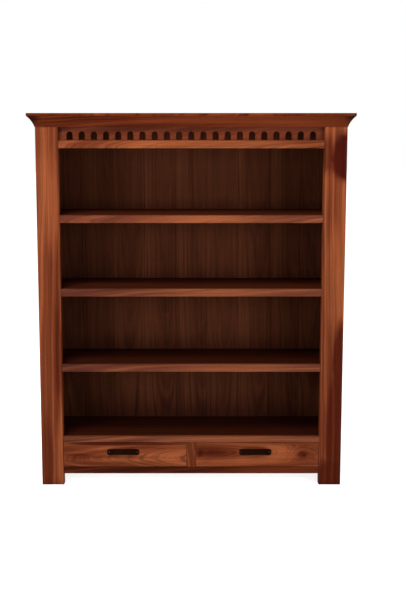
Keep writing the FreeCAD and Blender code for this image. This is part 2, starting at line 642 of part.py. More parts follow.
def tail_loops(count=3):
    """Dovetail outlines from the inner face of the front toward its outer face."""
    root, tip = "dim.drawerFrontThick", "dim.drawerFrontThick - dim.tailLength"
    loops = []
    for index in range(count):
        middle = "dim.drawerSideHeight / 2 + dim.tailPitch * %d" % (index - (count - 1) / 2)
        loops.append([(root, middle + " - dim.tailRoot / 2"), (tip, middle + " - dim.tailEnd / 2"),
                      (tip, middle + " + dim.tailEnd / 2"), (root, middle + " + dim.tailRoot / 2")])
    return loops


slot0, slot1 = "dim.bottomRise", "dim.bottomRise + dim.bottomThick"
back_y0 = "place.drawerLength - dim.backFromEnd - dim.drawerSideThick"
back_y1 = "place.drawerLength - dim.backFromEnd"

for side_name, side in SIDES:
    prefix = side_name + "_drawer_"
    middle = mirrored(side, "place.drawerX")

    label = prefix + "front"
    front = new_body(label, middle, "place.faceY", "place.drawerZ")
    grow(front, label + "_blank", "XY", "0", "place.frontHeight",
         [box_loop("-place.frontHalf", "place.frontHalf", "0", "dim.drawerFrontThick")])
    cut(front, label + "_groove", "XY", slot0, "dim.bottomThick",
        [box_loop("-place.boxInner", "place.boxInner",
                  "dim.drawerFrontThick - dim.grooveDepth", "dim.drawerFrontThick")])
    cut(front, label + "_sockets_left", "YZ", "-place.boxHalf", "dim.drawerSideThick", tail_loops())
    cut(front, label + "_sockets_right", "YZ", "place.boxInner", "dim.drawerSideThick", tail_loops())
    ease(front, label + "_round", "dim.edgeRound", 0, lambda point: near(point.y, 0))
    cut(front, label + "_pilots", "XZ", "0",
        "dim.screwLength - dim.headHeight - dim.plateThick",
        [ring(x, "place.pullZ", "dim.screwRadius")
         for x in ("dim.pullShift - dim.screwSpan", "dim.pullShift + dim.screwSpan")])

    for hand_name, hand in SIDES:
        label = prefix + "side_" + hand_name
        board = new_body(label, "%s + %s" % (middle, mirrored(hand, "place.boxInner")),
                         "place.faceY", "place.drawerZ")
        thick = mirrored(hand, "dim.drawerSideThick")
        grow(board, label + "_blank", "XY", "0", "dim.drawerSideHeight",
             [box_loop("0", thick, "dim.drawerFrontThick", "place.drawerLength")])
        grow(board, label + "_tails", "YZ", "0", "dim.drawerSideThick", tail_loops(), hand)
        cut(board, label + "_groove", "XY", slot0, "dim.bottomThick",
            [box_loop("0", mirrored(hand, "dim.bottomGroove"), "dim.drawerFrontThick",
                      "place.drawerLength")])
        cut(board, label + "_housing", "XY", slot1,
            "dim.drawerSideHeight - dim.bottomRise - dim.bottomThick",
            [box_loop("0", mirrored(hand, "dim.backHousing"), back_y0, back_y1)])

    label = prefix + "back"
    board = new_body(label, middle, "place.faceY", "place.drawerZ")
    grow(board, label + "_board", "XY", slot1,
         "dim.drawerSideHeight - dim.bottomRise - dim.bottomThick - dim.backDrop",
         [box_loop("-place.boxInner - dim.backHousing", "place.boxInner + dim.backHousing",
                   back_y0, back_y1)])

    label = prefix + "bottom"
    board = new_body(label, middle, "place.faceY", "place.drawerZ")
    narrow, wide = "place.boxInner", "place.boxInner + dim.bottomGroove"
    lip_y, root_y = "dim.drawerFrontThick - dim.grooveDepth", "dim.drawerFrontThick"
    half = [(narrow, lip_y), (narrow, root_y), (wide, root_y), (wide, back_y1)]
    grow(board, label + "_board", "XY", slot0, "dim.bottomThick",
         [half + [("-(%s)" % x, y) for x, y in reversed(half)]])

    # Bow pull: two plates and a bar that stands out and rises in the middle
    label = prefix + "pull"
    pull_x = "%s + dim.pullShift" % middle
    pull = new_body(label, pull_x, "place.faceY", "dim.pullHeight")
    inset = "dim.bowHalf - dim.bowFoot"
    band_low, band_high = "-dim.bowBand / 2", "dim.bowBand / 2"
    grow(pull, label + "_bow", "XY", band_low, "dim.bowBand + dim.bowRise",
         [[("-dim.bowHalf", "0"),
           ("-dim.bowHalf", "-dim.plateThick", ("(dim.bowHalf ^ 2 + (dim.bowOut - dim.plateThick) ^ 2)"
                                                " / 2 / (dim.bowOut - dim.plateThick)", -1)),
           ("dim.bowHalf", "-dim.plateThick"), ("dim.bowHalf", "0"), (inset, "0"),
           (inset, "-dim.plateThick", ("((%s) ^ 2 + (dim.bowOut - dim.bowBar - dim.plateThick) ^ 2)"
                                       " / 2 / (dim.bowOut - dim.bowBar - dim.plateThick)" % inset, 1)),
           ("-(%s)" % inset, "-dim.plateThick"), ("-(%s)" % inset, "0")]])
    arch_radius = "(dim.bowHalf ^ 2 + dim.bowRise ^ 2) / 2 / dim.bowRise"
    floor, ceiling = band_low + " - dim.cutPast", band_high + " + dim.bowRise + dim.cutPast"
    depth, past = "dim.bowOut + dim.cutPast", "dim.bowHalf + dim.cutPast"
    before = "-(%s)" % past
    cut(pull, label + "_underside", "XZ", "-(%s)" % depth, depth,
        [[(before, floor), (past, floor), (past, band_low),
          ("dim.bowHalf", band_low, (arch_radius, -1)), ("-dim.bowHalf", band_low),
          (before, band_low)]])
    cut(pull, label + "_topside", "XZ", "-(%s)" % depth, depth,
        [[(past, ceiling), (before, ceiling), (before, band_high),
          ("-dim.bowHalf", band_high, (arch_radius, 1)), ("dim.bowHalf", band_high),
          (past, band_high)]])
    plates = []
    for hand in (-1, 1):
        root = mirrored(hand, "dim.pullHalf - dim.plateLength")
        knee = mirrored(hand, "dim.pullHalf - dim.plateTaper")
        tip = mirrored(hand, "dim.pullHalf")
        plates.append([(root, "-dim.plateHalfHeight"), (knee, "-dim.plateHalfHeight"),
                       (tip, "-dim.plateTip"), (tip, "dim.plateTip"),
                       (knee, "dim.plateHalfHeight"), (root, "dim.plateHalfHeight")])
    grow(pull, label + "_plates", "XZ", "-dim.plateThick", "dim.plateThick", plates)
    holes = [ring(x, "0", "dim.screwRadius") for x in ("-dim.screwSpan", "dim.screwSpan")]
    cut(pull, label + "_holes", "XZ", "-dim.bowOut", "dim.bowOut", holes)

    screws = []
    for hand_name, hand in SIDES:
        at = ("%s + %s" % (pull_x, mirrored(hand, "dim.screwSpan")),
              "place.faceY - dim.plateThick - dim.headHeight", "dim.pullHeight")
        screws.append(screw_solid("%sscrew_%s" % (prefix, hand_name), at, -1, "screw", "head"))
    group = doc.addObject("Part::Compound", prefix + "pull_screws")
    group.Label = prefix + "pull_screws"
    group.Links = screws

doc.recompute()

# ------------------------------------------------------------ check and save
nodes = [thing for thing in doc.Objects if thing.TypeId == "PartDesign::Body"]
nodes += [thing for thing in doc.Objects if thing.TypeId == "Part::Compound"]
for thing in doc.Objects:
    if "Invalid" in thing.State or "Error" in thing.State:
        raise ValueError("%s is %s" % (thing.Name, thing.State))
os.makedirs("parts", exist_ok=True)
for node in nodes:
    shape = node.Shape
    if shape.isNull() or not shape.isValid():
        raise ValueError(node.Label + " has no valid shape")
    shape.exportStep("parts/%s.step" % node.Label)
print("nodes written:", len(nodes))
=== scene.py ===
import bpy
import bmesh
import math
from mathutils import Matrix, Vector


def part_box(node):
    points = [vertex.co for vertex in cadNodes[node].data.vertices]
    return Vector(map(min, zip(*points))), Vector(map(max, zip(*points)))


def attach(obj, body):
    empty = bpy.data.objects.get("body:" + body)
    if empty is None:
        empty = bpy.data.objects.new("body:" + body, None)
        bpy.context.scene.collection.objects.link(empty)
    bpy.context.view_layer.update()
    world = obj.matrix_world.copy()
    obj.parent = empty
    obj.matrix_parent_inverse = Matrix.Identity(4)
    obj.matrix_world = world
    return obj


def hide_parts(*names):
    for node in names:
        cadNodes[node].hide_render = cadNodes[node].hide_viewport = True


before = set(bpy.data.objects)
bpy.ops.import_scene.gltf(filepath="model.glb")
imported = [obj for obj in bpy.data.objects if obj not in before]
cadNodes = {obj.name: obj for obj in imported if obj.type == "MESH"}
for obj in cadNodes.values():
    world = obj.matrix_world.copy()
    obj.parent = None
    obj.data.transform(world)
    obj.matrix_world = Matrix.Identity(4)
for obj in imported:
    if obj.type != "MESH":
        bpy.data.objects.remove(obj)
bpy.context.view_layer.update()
bpy.ops.object.select_all(action="DESELECT")
print("frame loaded:", len(cadNodes), "pieces")


def paint(hexCode, tone=1.0):
    # screen colour such as "8F4D37" to the linear colour that shaders use
    parts = [int(hexCode[i:i + 2], 16) / 255 for i in (0, 2, 4)]
    linear = [c / 12.92 if c <= 0.04045 else ((c + 0.055) / 1.055) ** 2.4 for c in parts]
    return (*[c * tone for c in linear], 1)


# camera, light and floor
cameraView = {"place": (0, -5.662, 1.80), "downward": 9.268, "lens": 69.1, "sensor": 36,
              "sideShift": 0.0194, "farthest": 60}

cameraData = bpy.data.cameras.new("studioCamera")
cameraData.lens = cameraView["lens"]
cameraData.sensor_width = cameraView["sensor"]
cameraData.shift_x = cameraView["sideShift"]
cameraData.clip_end = cameraView["farthest"]
camera = bpy.data.objects.new("studioCamera", cameraData)
camera.location = cameraView["place"]
camera.rotation_euler = (math.radians(90 - cameraView["downward"]), 0, 0)
bpy.context.scene.collection.objects.link(camera)
bpy.context.scene.camera = camera

studioLight = {
    # name: place, aimed at, width, height, watts
    "keySoftbox": ((-1.2, -2.3, 4.3), (0, -0.2, 0.9), 1.4, 1.4, 95),
    "fillLeft": ((-3.3, -4.1, 1.6), (0, -0.1, 0.9), 2.0, 2.0, 95),
    "fillRight": ((3.3, -4.1, 1.6), (0, -0.1, 0.9), 2.0, 2.0, 80),
}
for name, (spot, aim, wide, high, watts) in studioLight.items():
    lamp = bpy.data.lights.new(name, "AREA")
    lamp.shape = "RECTANGLE"
    lamp.size, lamp.size_y = wide, high
    lamp.energy = watts
    lampObject = bpy.data.objects.new(name, lamp)
    lampObject.location = spot
    lampObject.rotation_euler = (Vector(aim) - Vector(spot)).to_track_quat("-Z", "Y").to_euler()
    bpy.context.scene.collection.objects.link(lampObject)

studioAir = {"seen": 1.0, "lighting": 0.18}

world = bpy.data.worlds.new("studioAir")
bpy.context.scene.world = world
world.use_nodes = True
airTree = world.node_tree
airTree.nodes.clear()
airOut = airTree.nodes.new("ShaderNodeOutputWorld")
airGlow = airTree.nodes.new("ShaderNodeBackground")
airSeen = airTree.nodes.new("ShaderNodeLightPath")
airLevel = airTree.nodes.new("ShaderNodeMapRange")  # white behind the object, softer as a light
airLevel.inputs["To Min"].default_value = studioAir["lighting"]
airLevel.inputs["To Max"].default_value = studioAir["seen"]
airGlow.inputs["Color"].default_value = (1, 1, 1, 1)
airTree.links.new(airSeen.outputs["Is Camera Ray"], airLevel.inputs["Value"])
airTree.links.new(airLevel.outputs["Result"], airGlow.inputs["Strength"])
airTree.links.new(airGlow.outputs["Background"], airOut.inputs["Surface"])

bpy.context.scene.view_settings.view_transform = "Standard"
bpy.context.scene.view_settings.look = "None"

# pale floor that throws less light back up at the case than it shows
floorTone = {"size": 60, "seen": 0.93, "bounced": 0.30, "roughness": 0.85, "specular": 0.1}

bpy.ops.mesh.primitive_plane_add(size=floorTone["size"], location=(0, 0, 0))
floor = bpy.context.object
floor.name = "studioFloor"
floorFinish = bpy.data.materials.new("paleFloor")
floorFinish.use_nodes = True
floorTree = floorFinish.node_tree
floorShader = floorTree.nodes["Principled BSDF"]
floorRay = floorTree.nodes.new("ShaderNodeLightPath")
floorLevel = floorTree.nodes.new("ShaderNodeMapRange")
floorLevel.inputs["To Min"].default_value = floorTone["bounced"]
floorLevel.inputs["To Max"].default_value = floorTone["seen"]
floorTree.links.new(floorRay.outputs["Is Camera Ray"], floorLevel.inputs["Value"])
floorTree.links.new(floorLevel.outputs["Result"], floorShader.inputs["Base Color"])
floorShader.inputs["Roughness"].default_value = floorTone["roughness"]
floorShader.inputs["Specular IOR Level"].default_value = floorTone["specular"]
floor.data.materials.append(floorFinish)

# a wide overhead lamp that lights the floor alone, so it stays pale and even
floorLamp = {"strength": 3.7, "spread": 80}

sun = bpy.data.lights.new("floorWash", "SUN")
sun.energy = floorLamp["strength"]
sun.angle = math.radians(floorLamp["spread"])
sun.use_shadow = False
sunObject = bpy.data.objects.new("floorWash", sun)
sunObject.location = (0, 0, 5)
bpy.context.scene.collection.objects.link(sunObject)
floorOnly = bpy.data.collections.new("floorOnly")
floorOnly.objects.link(floor)
sunObject.light_linking.receiver_collection = floorOnly
bpy.ops.object.select_all(action="DESELECT")
print("camera, lights and floor in place")


# small helpers for building shader trees
def addNode(tree, kind, given=None, **settings):
    node = tree.nodes.new(kind)
    for name, value in settings.items():
        setattr(node, name, value)
    for socket, value in (given or {}).items():
        if isinstance(value, bpy.types.NodeSocket):
            tree.links.new(value, node.inputs[socket])
        else:
            node.inputs[socket].default_value = value
    return node


def calc(tree, operation, a, b=0.0, c=0.0, clamp=False):
    return addNode(tree, "ShaderNodeMath", {0: a, 1: b, 2: c}, operation=operation,
                   use_clamp=clamp).outputs[0]


def vectorCalc(tree, operation, a, b=(0, 0, 0)):
    node = addNode(tree, "ShaderNodeVectorMath", {0: a, 1: b}, operation=operation)
    return node.outputs["Value" if operation in ("LENGTH", "DOT_PRODUCT") else "Vector"]


def scaled(tree, vector, factor):
    return addNode(tree, "ShaderNodeVectorMath", {0: vector, "Scale": factor},
                   operation="SCALE").outputs["Vector"]


def noise(tree, vector, scale, detail=2.0, rough=0.5):
    # scale is a number, or one number for each direction
    if not isinstance(scale, (int, float)):
        vector, scale = vectorCalc(tree, "MULTIPLY", vector, scale), 1.0
    return addNode(tree, "ShaderNodeTexNoise", {"Vector": vector, "Scale": scale, "Detail": detail,
                                                "Roughness": rough})


def lineNoise(tree, along, scale, detail, rough):
    return addNode(tree, "ShaderNodeTexNoise", {"W": along, "Scale": scale, "Detail": detail,
                                                "Roughness": rough}, noise_dimensions="1D").outputs[0]


def ramp(tree, value, low, high, toLow=0.0, toHigh=1.0):
    # smooth step from toLow at low to toHigh at high
    return addNode(tree, "ShaderNodeMapRange", {"Value": value, "From Min": low, "From Max": high,
                                                "To Min": toLow, "To Max": toHigh},
                   interpolation_type="SMOOTHSTEP").outputs["Result"]


def blendColor(tree, amount, a, b, mode="MIX"):
    return addNode(tree, "ShaderNodeMix", {0: amount, 6: a, 7: b}, data_type="RGBA",
                   blend_type=mode).outputs[2]


def darken(tree, color, share):
    # multiply a colour by one number
    grey = addNode(tree, "ShaderNodeCombineXYZ", {0: share, 1: share, 2: share}).outputs[0]
    return blendColor(tree, 1.0, color, grey, "MULTIPLY")


def startGroup(name, given, made):
    group = bpy.data.node_groups.new(name, "ShaderNodeTree")
    kinds = {"vector": "NodeSocketVector", "float": "NodeSocketFloat", "color": "NodeSocketColor"}
    for label, kind in given:
        group.interface.new_socket(name=label, in_out="INPUT", socket_type=kinds[kind])
    for label, kind in made:
        group.interface.new_socket(name=label, in_out="OUTPUT", socket_type=kinds[kind])
    inside = group.nodes.new("NodeGroupInput").outputs
    outside = group.nodes.new("NodeGroupOutput").inputs
    return group, inside, outside


# timber figure: growth rings round a pith, dark veins, fibre and open pores, along z
woodGrain, given, made = startGroup(
    "woodGrain",
    [("Vector", "vector"), ("Seed", "vector"), ("Pith", "vector"), ("Lean", "float"),
     ("Ring Width", "float"), ("Wander", "float"), ("Streaks", "float"), ("Heart And Shade", "float"),
     ("Sap And Light", "float"), ("Swirl", "float"), ("End Grain", "float"), ("Light", "color"),
     ("Middle", "color"), ("Dark", "color")],
    [("Color", "color"), ("Height", "float"), ("Roughness", "float")])
tree = woodGrain
seeded = vectorCalc(tree, "ADD", given["Vector"], given["Seed"])
slow = vectorCalc(tree, "SUBTRACT", noise(tree, seeded, (2.6, 2.6, 0.7), 2).outputs["Color"],
                  (0.5, 0.5, 0.5))
quick = vectorCalc(tree, "SUBTRACT", noise(tree, seeded, (17, 17, 3.4), 2).outputs["Color"],
                   (0.5, 0.5, 0.5))
sway = vectorCalc(tree, "ADD", slow, scaled(tree, quick, 0.14))
bent = vectorCalc(tree, "ADD", given["Vector"], scaled(tree, sway, given["Wander"]))
bentParts = addNode(tree, "ShaderNodeSeparateXYZ", {0: bent})
drift = calc(tree, "MULTIPLY", bentParts.outputs["Z"], given["Lean"])
flat = addNode(tree, "ShaderNodeCombineXYZ", {"X": bentParts.outputs["X"],
                                              "Y": calc(tree, "ADD", bentParts.outputs["Y"], drift)})
reach = vectorCalc(tree, "LENGTH", vectorCalc(tree, "SUBTRACT", flat.outputs[0], given["Pith"]))
years = calc(tree, "ADD", calc(tree, "DIVIDE", reach, given["Ring Width"]), given["Swirl"])
rings = lineNoise(tree, years, 0.9, 3.0, 0.62)
veins = lineNoise(tree, calc(tree, "ADD", years, 41.3), 2.3, 1.5, 0.5)
fine = lineNoise(tree, years, 11.0, 2.0, 0.6)
broad = noise(tree, seeded, (6, 6, 0.7), 2).outputs[0]
patchy = noise(tree, seeded, (9, 9, 1.1), 2).outputs[0]
pale = calc(tree, "ADD", ramp(tree, rings, 0.32, 0.58, 1, 0), ramp(tree, broad, 0.35, 0.65, -0.3, 0.3),
            clamp=True)
darkLine = calc(tree, "MULTIPLY", ramp(tree, rings, 0.54, 0.70), ramp(tree, broad, 0.30, 0.62, 0.9, 0.2))
vein = calc(tree, "MULTIPLY", ramp(tree, veins, 0.60, 0.68), ramp(tree, patchy, 0.42, 0.60, 0.15, 0.85))
dark = calc(tree, "MULTIPLY", calc(tree, "MAXIMUM", darkLine, vein), given["Streaks"])
ringsAndFibre = calc(tree, "ADD", calc(tree, "MULTIPLY", rings, 0.5), calc(tree, "MULTIPLY", fine, 0.5))
feather = ramp(tree, ringsAndFibre, 0.34, 0.62, 0.25, 1.35)
core = calc(tree, "ADD", feather, calc(tree, "MULTIPLY", given["Heart And Shade"],
                                       calc(tree, "SUBTRACT", 1.0, feather)))
dark = calc(tree, "MAXIMUM", dark, calc(tree, "MULTIPLY", given["Heart And Shade"], core), clamp=True)
tint = blendColor(tree, pale, given["Middle"], given["Light"])
tint = blendColor(tree, calc(tree, "MULTIPLY", given["Sap And Light"], 0.8), tint, given["Light"])
tint = blendColor(tree, dark, tint, given["Dark"])
fibre = noise(tree, seeded, (430, 430, 5.0), 2, 0.65).outputs[0]
ribbon = noise(tree, seeded, (95, 95, 1.5), 2, 0.6).outputs[0]
hairline = ramp(tree, lineNoise(tree, calc(tree, "ADD", years, 17.7), 6.0, 1.0, 0.5), 0.60, 0.66, 0.0, 0.30)
hairline = calc(tree, "MULTIPLY", hairline, ramp(tree, patchy, 0.40, 0.60))
pore = ramp(tree, noise(tree, seeded, (1900, 1900, 120), 1).outputs[0], 0.62, 0.70)
pore = calc(tree, "MULTIPLY", pore, ramp(tree, rings, 0.25, 0.6, 0.4, 1.0))
shade = calc(tree, "MULTIPLY", ramp(tree, fibre, 0.25, 0.75, 0.86, 1.14),
             ramp(tree, ribbon, 0.28, 0.72, 0.86, 1.14))
shade = calc(tree, "MULTIPLY", shade, ramp(tree, fine, 0.3, 0.7, 1.12, 0.88))
shade = calc(tree, "MULTIPLY", shade, calc(tree, "SUBTRACT", 1.0, hairline))
shade = calc(tree, "MULTIPLY", shade, calc(tree, "SUBTRACT", 1.0, calc(tree, "MULTIPLY", pore, 0.5)))
shade = calc(tree, "MULTIPLY", shade, calc(tree, "SUBTRACT", 1.0,
                                           calc(tree, "MULTIPLY", given["End Grain"], 0.45)))
tree.links.new(darken(tree, tint, shade), made["Color"])
height = calc(tree, "SUBTRACT", calc(tree, "MULTIPLY", fibre, 0.3), calc(tree, "MULTIPLY", pore, 0.9))
height = calc(tree, "ADD", height, calc(tree, "MULTIPLY", fine, 0.2))
tree.links.new(height, made["Height"])
gloss = calc(tree, "ADD", ramp(tree, fibre, 0.3, 0.7, 0.36, 0.50), calc(tree, "MULTIPLY", pore, 0.2))
gloss = calc(tree, "ADD", gloss, calc(tree, "MULTIPLY", given["End Grain"], 0.15), clamp=True)
tree.links.new(gloss, made["Roughness"])

# a soft ragged patch in object space, for dark heartwood, pale sapwood and knots, and for painted shade and
# painted light
softPatch, given, made = startGroup(
    "softPatch", [("Vector", "vector"), ("Centre", "vector"), ("Reach", "vector"), ("Ragged", "float"),
                  ("Softness", "float")], [("Mask", "float")])
tree = softPatch
offset = vectorCalc(tree, "DIVIDE", vectorCalc(tree, "SUBTRACT", given["Vector"], given["Centre"]),
                    given["Reach"])
tear = vectorCalc(tree, "SUBTRACT", noise(tree, offset, 1.6, 4, 0.6).outputs["Color"], (0.5, 0.5, 0.5))
away = vectorCalc(tree, "LENGTH", vectorCalc(tree, "ADD", offset, scaled(tree, tear, given["Ragged"])))
patchMask = calc(tree, "DIVIDE", calc(tree, "SUBTRACT", 1.0, away), given["Softness"], clamp=True)
tree.links.new(ramp(tree, patchMask, 0.0, 1.0), made["Mask"])

# rubbed edges: where a rounded normal turns away from the flat one
edgeWear, given, made = startGroup(
    "edgeWear", [("Vector", "vector"), ("Radius", "float"), ("Breakup", "float")],
    [("Mask", "float"), ("Normal", "vector")])
tree = edgeWear
rounded = addNode(tree, "ShaderNodeBevel", {"Radius": given["Radius"]}, samples=4).outputs[0]
facing = vectorCalc(tree, "DOT_PRODUCT", rounded, addNode(tree, "ShaderNodeNewGeometry").outputs["Normal"])
worn = ramp(tree, facing, 0.78, 0.98, 1, 0)
broken = noise(tree, given["Vector"], (38, 38, 38), 3, 0.6).outputs[0]
broken = ramp(tree, broken, calc(tree, "SUBTRACT", 0.5, given["Breakup"]),
              calc(tree, "ADD", 0.5, given["Breakup"]), 0.15, 1.0)
tree.links.new(calc(tree, "MULTIPLY", worn, broken, clamp=True), made["Mask"])
tree.links.new(rounded, made["Normal"])

# painted shade: darker where nearby parts close the surface in, as in inner corners, with a little noise
cornerShade, given, made = startGroup("cornerShade", [("Vector", "vector"), ("Reach", "float")],
                                      [("Mask", "float")])
tree = cornerShade
openness = addNode(tree, "ShaderNodeAmbientOcclusion", {"Distance": given["Reach"]},
                   samples=5).outputs["AO"]
uneven = noise(tree, given["Vector"], (14, 14, 14), 3, 0.6).outputs[0]
cornerShadeMask = calc(tree, "ADD", ramp(tree, openness, 0.30, 0.95, 1, 0),
               ramp(tree, uneven, 0.3, 0.7, -0.06, 0.06), clamp=True)
tree.links.new(cornerShadeMask, made["Mask"])
print("shader groups built")


# timber palettes: light, middle and dark of the figure, and the tint of a rubbed edge
palettes = {
    "case": ("97502D", "70341B", "430E03", "A8623A"),
    "crown": ("7A3519", "5E2208", "360B03", "8A4526"),
    "back": ("6B3A23", "61321D", "3C190E", "784A30"),
    "inner": ("4E2312", "3E170A", "230803", "66341D"),
    "drawerBox": ("A9784F", "8F6040", "633B25", "B98A60"),
}


# how far rubbed edges, dirt and relief show on every board
timberWear = {"breakup": 0.22, "rubbed": 0.4, "polished": 0.08, "dirtRough": 0.2, "relief": 0.35,
              "depth": 0.0005}


def turnTo(along):
    # turn that lays the grain direction onto z
    return {"z": (0, 0, 0), "x": (0, -math.pi / 2, 0), "y": (math.pi / 2, 0, 0)}[along]


def patchMasks(tree, coords, patches):
    # strongest of several patches: centre, reach, ragged, softness, strength
    strongest = None
    for centre, reach, ragged, softness, strength in patches:
        patch = addNode(tree, "ShaderNodeGroup", node_tree=softPatch)
        tree.links.new(coords.outputs["Object"], patch.inputs["Vector"])
        patch.inputs["Centre"].default_value = centre
        patch.inputs["Reach"].default_value = reach
        patch.inputs["Ragged"].default_value = ragged
        patch.inputs["Softness"].default_value = softness
        mask = calc(tree, "MULTIPLY", patch.outputs["Mask"], strength)
        strongest = mask if strongest is None else calc(tree, "MAXIMUM", strongest, mask)
    return strongest


# the dark and pale patch lists carry heartwood and sapwood, and on some boards painted shade and painted
# light as well
def dressBoard(name, palette, along, number, pith=(0.05, 0.09), lean=0.06, ringWidth=0.016,
               wander=0.05, streaks=0.7, heartAndShade=(), sapAndLight=(), knots=(), specular=0.05, roughAdd=0.0,
               edge=0.0016, tone=1.0, paintedShade=0.35, paintedShadeReach=0.05, insideOnly=False):
    # one timber finish for each board, so that no two boards share a figure
    low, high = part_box(name)
    middle = (low + high) / 2
    finish = bpy.data.materials.new("timber." + name)
    finish.use_nodes = True
    tree = finish.node_tree
    shader = tree.nodes["Principled BSDF"]
    coords = addNode(tree, "ShaderNodeTexCoord")
    centred = vectorCalc(tree, "SUBTRACT", coords.outputs["Object"], tuple(middle))
    turned = addNode(tree, "ShaderNodeMapping", {"Vector": centred, "Rotation": turnTo(along)})
    axis = {"x": (1, 0, 0), "y": (0, 1, 0), "z": (0, 0, 1)}[along]
    cross = calc(tree, "ABSOLUTE", vectorCalc(tree, "DOT_PRODUCT", coords.outputs["Normal"], axis))
    light, mid, deep = [paint(code, tone) for code in palettes[palette][:3]]
    rubbed = paint(palettes[palette][3], tone)
    seed = ((number * 0.618) % 1 * 3, (number * 0.414) % 1 * 3, (number * 0.732) % 1 * 5)
    grain = addNode(tree, "ShaderNodeGroup", node_tree=woodGrain)
    for label, value in (("Seed", seed), ("Pith", (*pith, 0)), ("Lean", lean), ("Heart And Shade", 0.0),
                         ("Sap And Light", 0.0), ("Swirl", 0.0), ("Ring Width", ringWidth), ("Wander", wander),
                         ("Streaks", streaks), ("Light", light), ("Middle", mid), ("Dark", deep)):
        grain.inputs[label].default_value = value
    tree.links.new(turned.outputs["Vector"], grain.inputs["Vector"])
    tree.links.new(ramp(tree, cross, 0.6, 0.95), grain.inputs["End Grain"])
    for label, patches in (("Heart And Shade", heartAndShade), ("Sap And Light", sapAndLight), ("Swirl", knots)):
        mask = patchMasks(tree, coords, patches)
        if mask is None:
            continue
        if insideOnly:
            # the face towards the front alone
            inward = vectorCalc(tree, "DOT_PRODUCT", coords.outputs["Normal"], (0, -1, 0))
            mask = calc(tree, "MULTIPLY", mask, ramp(tree, inward, 0.3, 0.7))
        tree.links.new(mask, grain.inputs[label])
    wear = addNode(tree, "ShaderNodeGroup", node_tree=edgeWear)
    wear.inputs["Radius"].default_value = edge
    wear.inputs["Breakup"].default_value = timberWear["breakup"]
    tree.links.new(coords.outputs["Object"], wear.inputs["Vector"])
    rub = calc(tree, "MULTIPLY", wear.outputs["Mask"], timberWear["rubbed"])
    # painted shade in inner corners: the colour darkens by how closed in the surface is
    cornerShadeNode = addNode(tree, "ShaderNodeGroup", node_tree=cornerShade)
    cornerShadeNode.inputs["Reach"].default_value = paintedShadeReach
    tree.links.new(coords.outputs["Object"], cornerShadeNode.inputs["Vector"])
    color = blendColor(tree, rub, grain.outputs["Color"], rubbed)
    color = darken(tree, color, calc(tree, "SUBTRACT", 1.0,
                                     calc(tree, "MULTIPLY", cornerShadeNode.outputs["Mask"], paintedShade)))
    tree.links.new(color, shader.inputs["Base Color"])
    rough = calc(tree, "ADD", grain.outputs["Roughness"], roughAdd)
    dull = calc(tree, "MULTIPLY", cornerShadeNode.outputs["Mask"], timberWear["dirtRough"])
    polish = calc(tree, "MULTIPLY", wear.outputs["Mask"], timberWear["polished"])
    rough = calc(tree, "SUBTRACT", calc(tree, "ADD", rough, dull), polish, clamp=True)
    tree.links.new(rough, shader.inputs["Roughness"])
    relief = addNode(tree, "ShaderNodeBump", {"Height": grain.outputs["Height"],
                                              "Normal": wear.outputs["Normal"],
                                              "Strength": timberWear["relief"],
                                              "Distance": timberWear["depth"]})
    tree.links.new(relief.outputs["Normal"], shader.inputs["Normal"])
    shader.inputs["Specular IOR Level"].default_value = specular
    cadNodes[name].material_slots[0].material = finish


# front posts: strong upright figure, heartwood down the outside of the right one
dressBoard("post_front_left", "case", "z", 1, pith=(-0.14, 0.09), lean=0.03, wander=0.06,
           ringWidth=0.024, streaks=0.55,
           heartAndShade=[((-0.710, -0.18, 1.68), (0.045, 0.10, 0.17), 0.5, 1.0, 0.40),
                  ((-0.638, -0.18, 0.66), (0.032, 0.10, 0.38), 0.5, 0.7, 0.70),
                  ((-0.700, -0.18, 0.12), (0.042, 0.10, 0.34), 0.5, 0.7, 0.56)],
           sapAndLight=[((-0.650, -0.18, 1.38), (0.070, 0.10, 0.32), 0.6, 0.8, 0.9),
                ((-0.645, -0.18, 0.15), (0.022, 0.10, 0.23), 0.4, 0.8, 0.8)])
dressBoard("post_front_right", "case", "z", 2, pith=(0.16, 0.08), lean=0.02, wander=0.06,
           ringWidth=0.024, streaks=0.55, tone=1.06,
           heartAndShade=[((0.756, -0.18, 1.600), (0.136, 0.12, 0.158), 0.40, 0.40, 1.0),
                  ((0.760, -0.18, 0.61), (0.100, 0.12, 0.27), 0.30, 0.30, 0.86),
                  ((0.775, -0.18, 0.28), (0.150, 0.12, 0.50), 0.30, 0.25, 0.84),
                  ((0.690, -0.18, 0.00), (0.140, 0.12, 0.21), 0.4, 0.5, 0.90),
                  ((0.700, -0.18, 0.52), (0.075, 0.10, 0.24), 0.5, 1.0, 0.70),
                  ((0.640, -0.18, 1.61), (0.050, 0.10, 0.14), 0.5, 0.7, 0.78),
                  ((0.625, -0.18, 0.27), (0.060, 0.10, 0.30), 0.6, 1.0, 0.45)],
           sapAndLight=[((0.678, -0.18, 1.03), (0.054, 0.10, 0.34), 0.4, 0.6, 1.0),
                ((0.708, -0.18, 0.97), (0.040, 0.10, 0.22), 0.4, 0.6, 1.0)])

# crown, frieze and the rails between the posts
dressBoard("crown_board", "crown", "x", 3, pith=(0.02, 0.15),
           sapAndLight=[((0.10, -0.20, 1.79), (0.60, 0.40, 0.10), 0.4, 0.8, 0.9)])
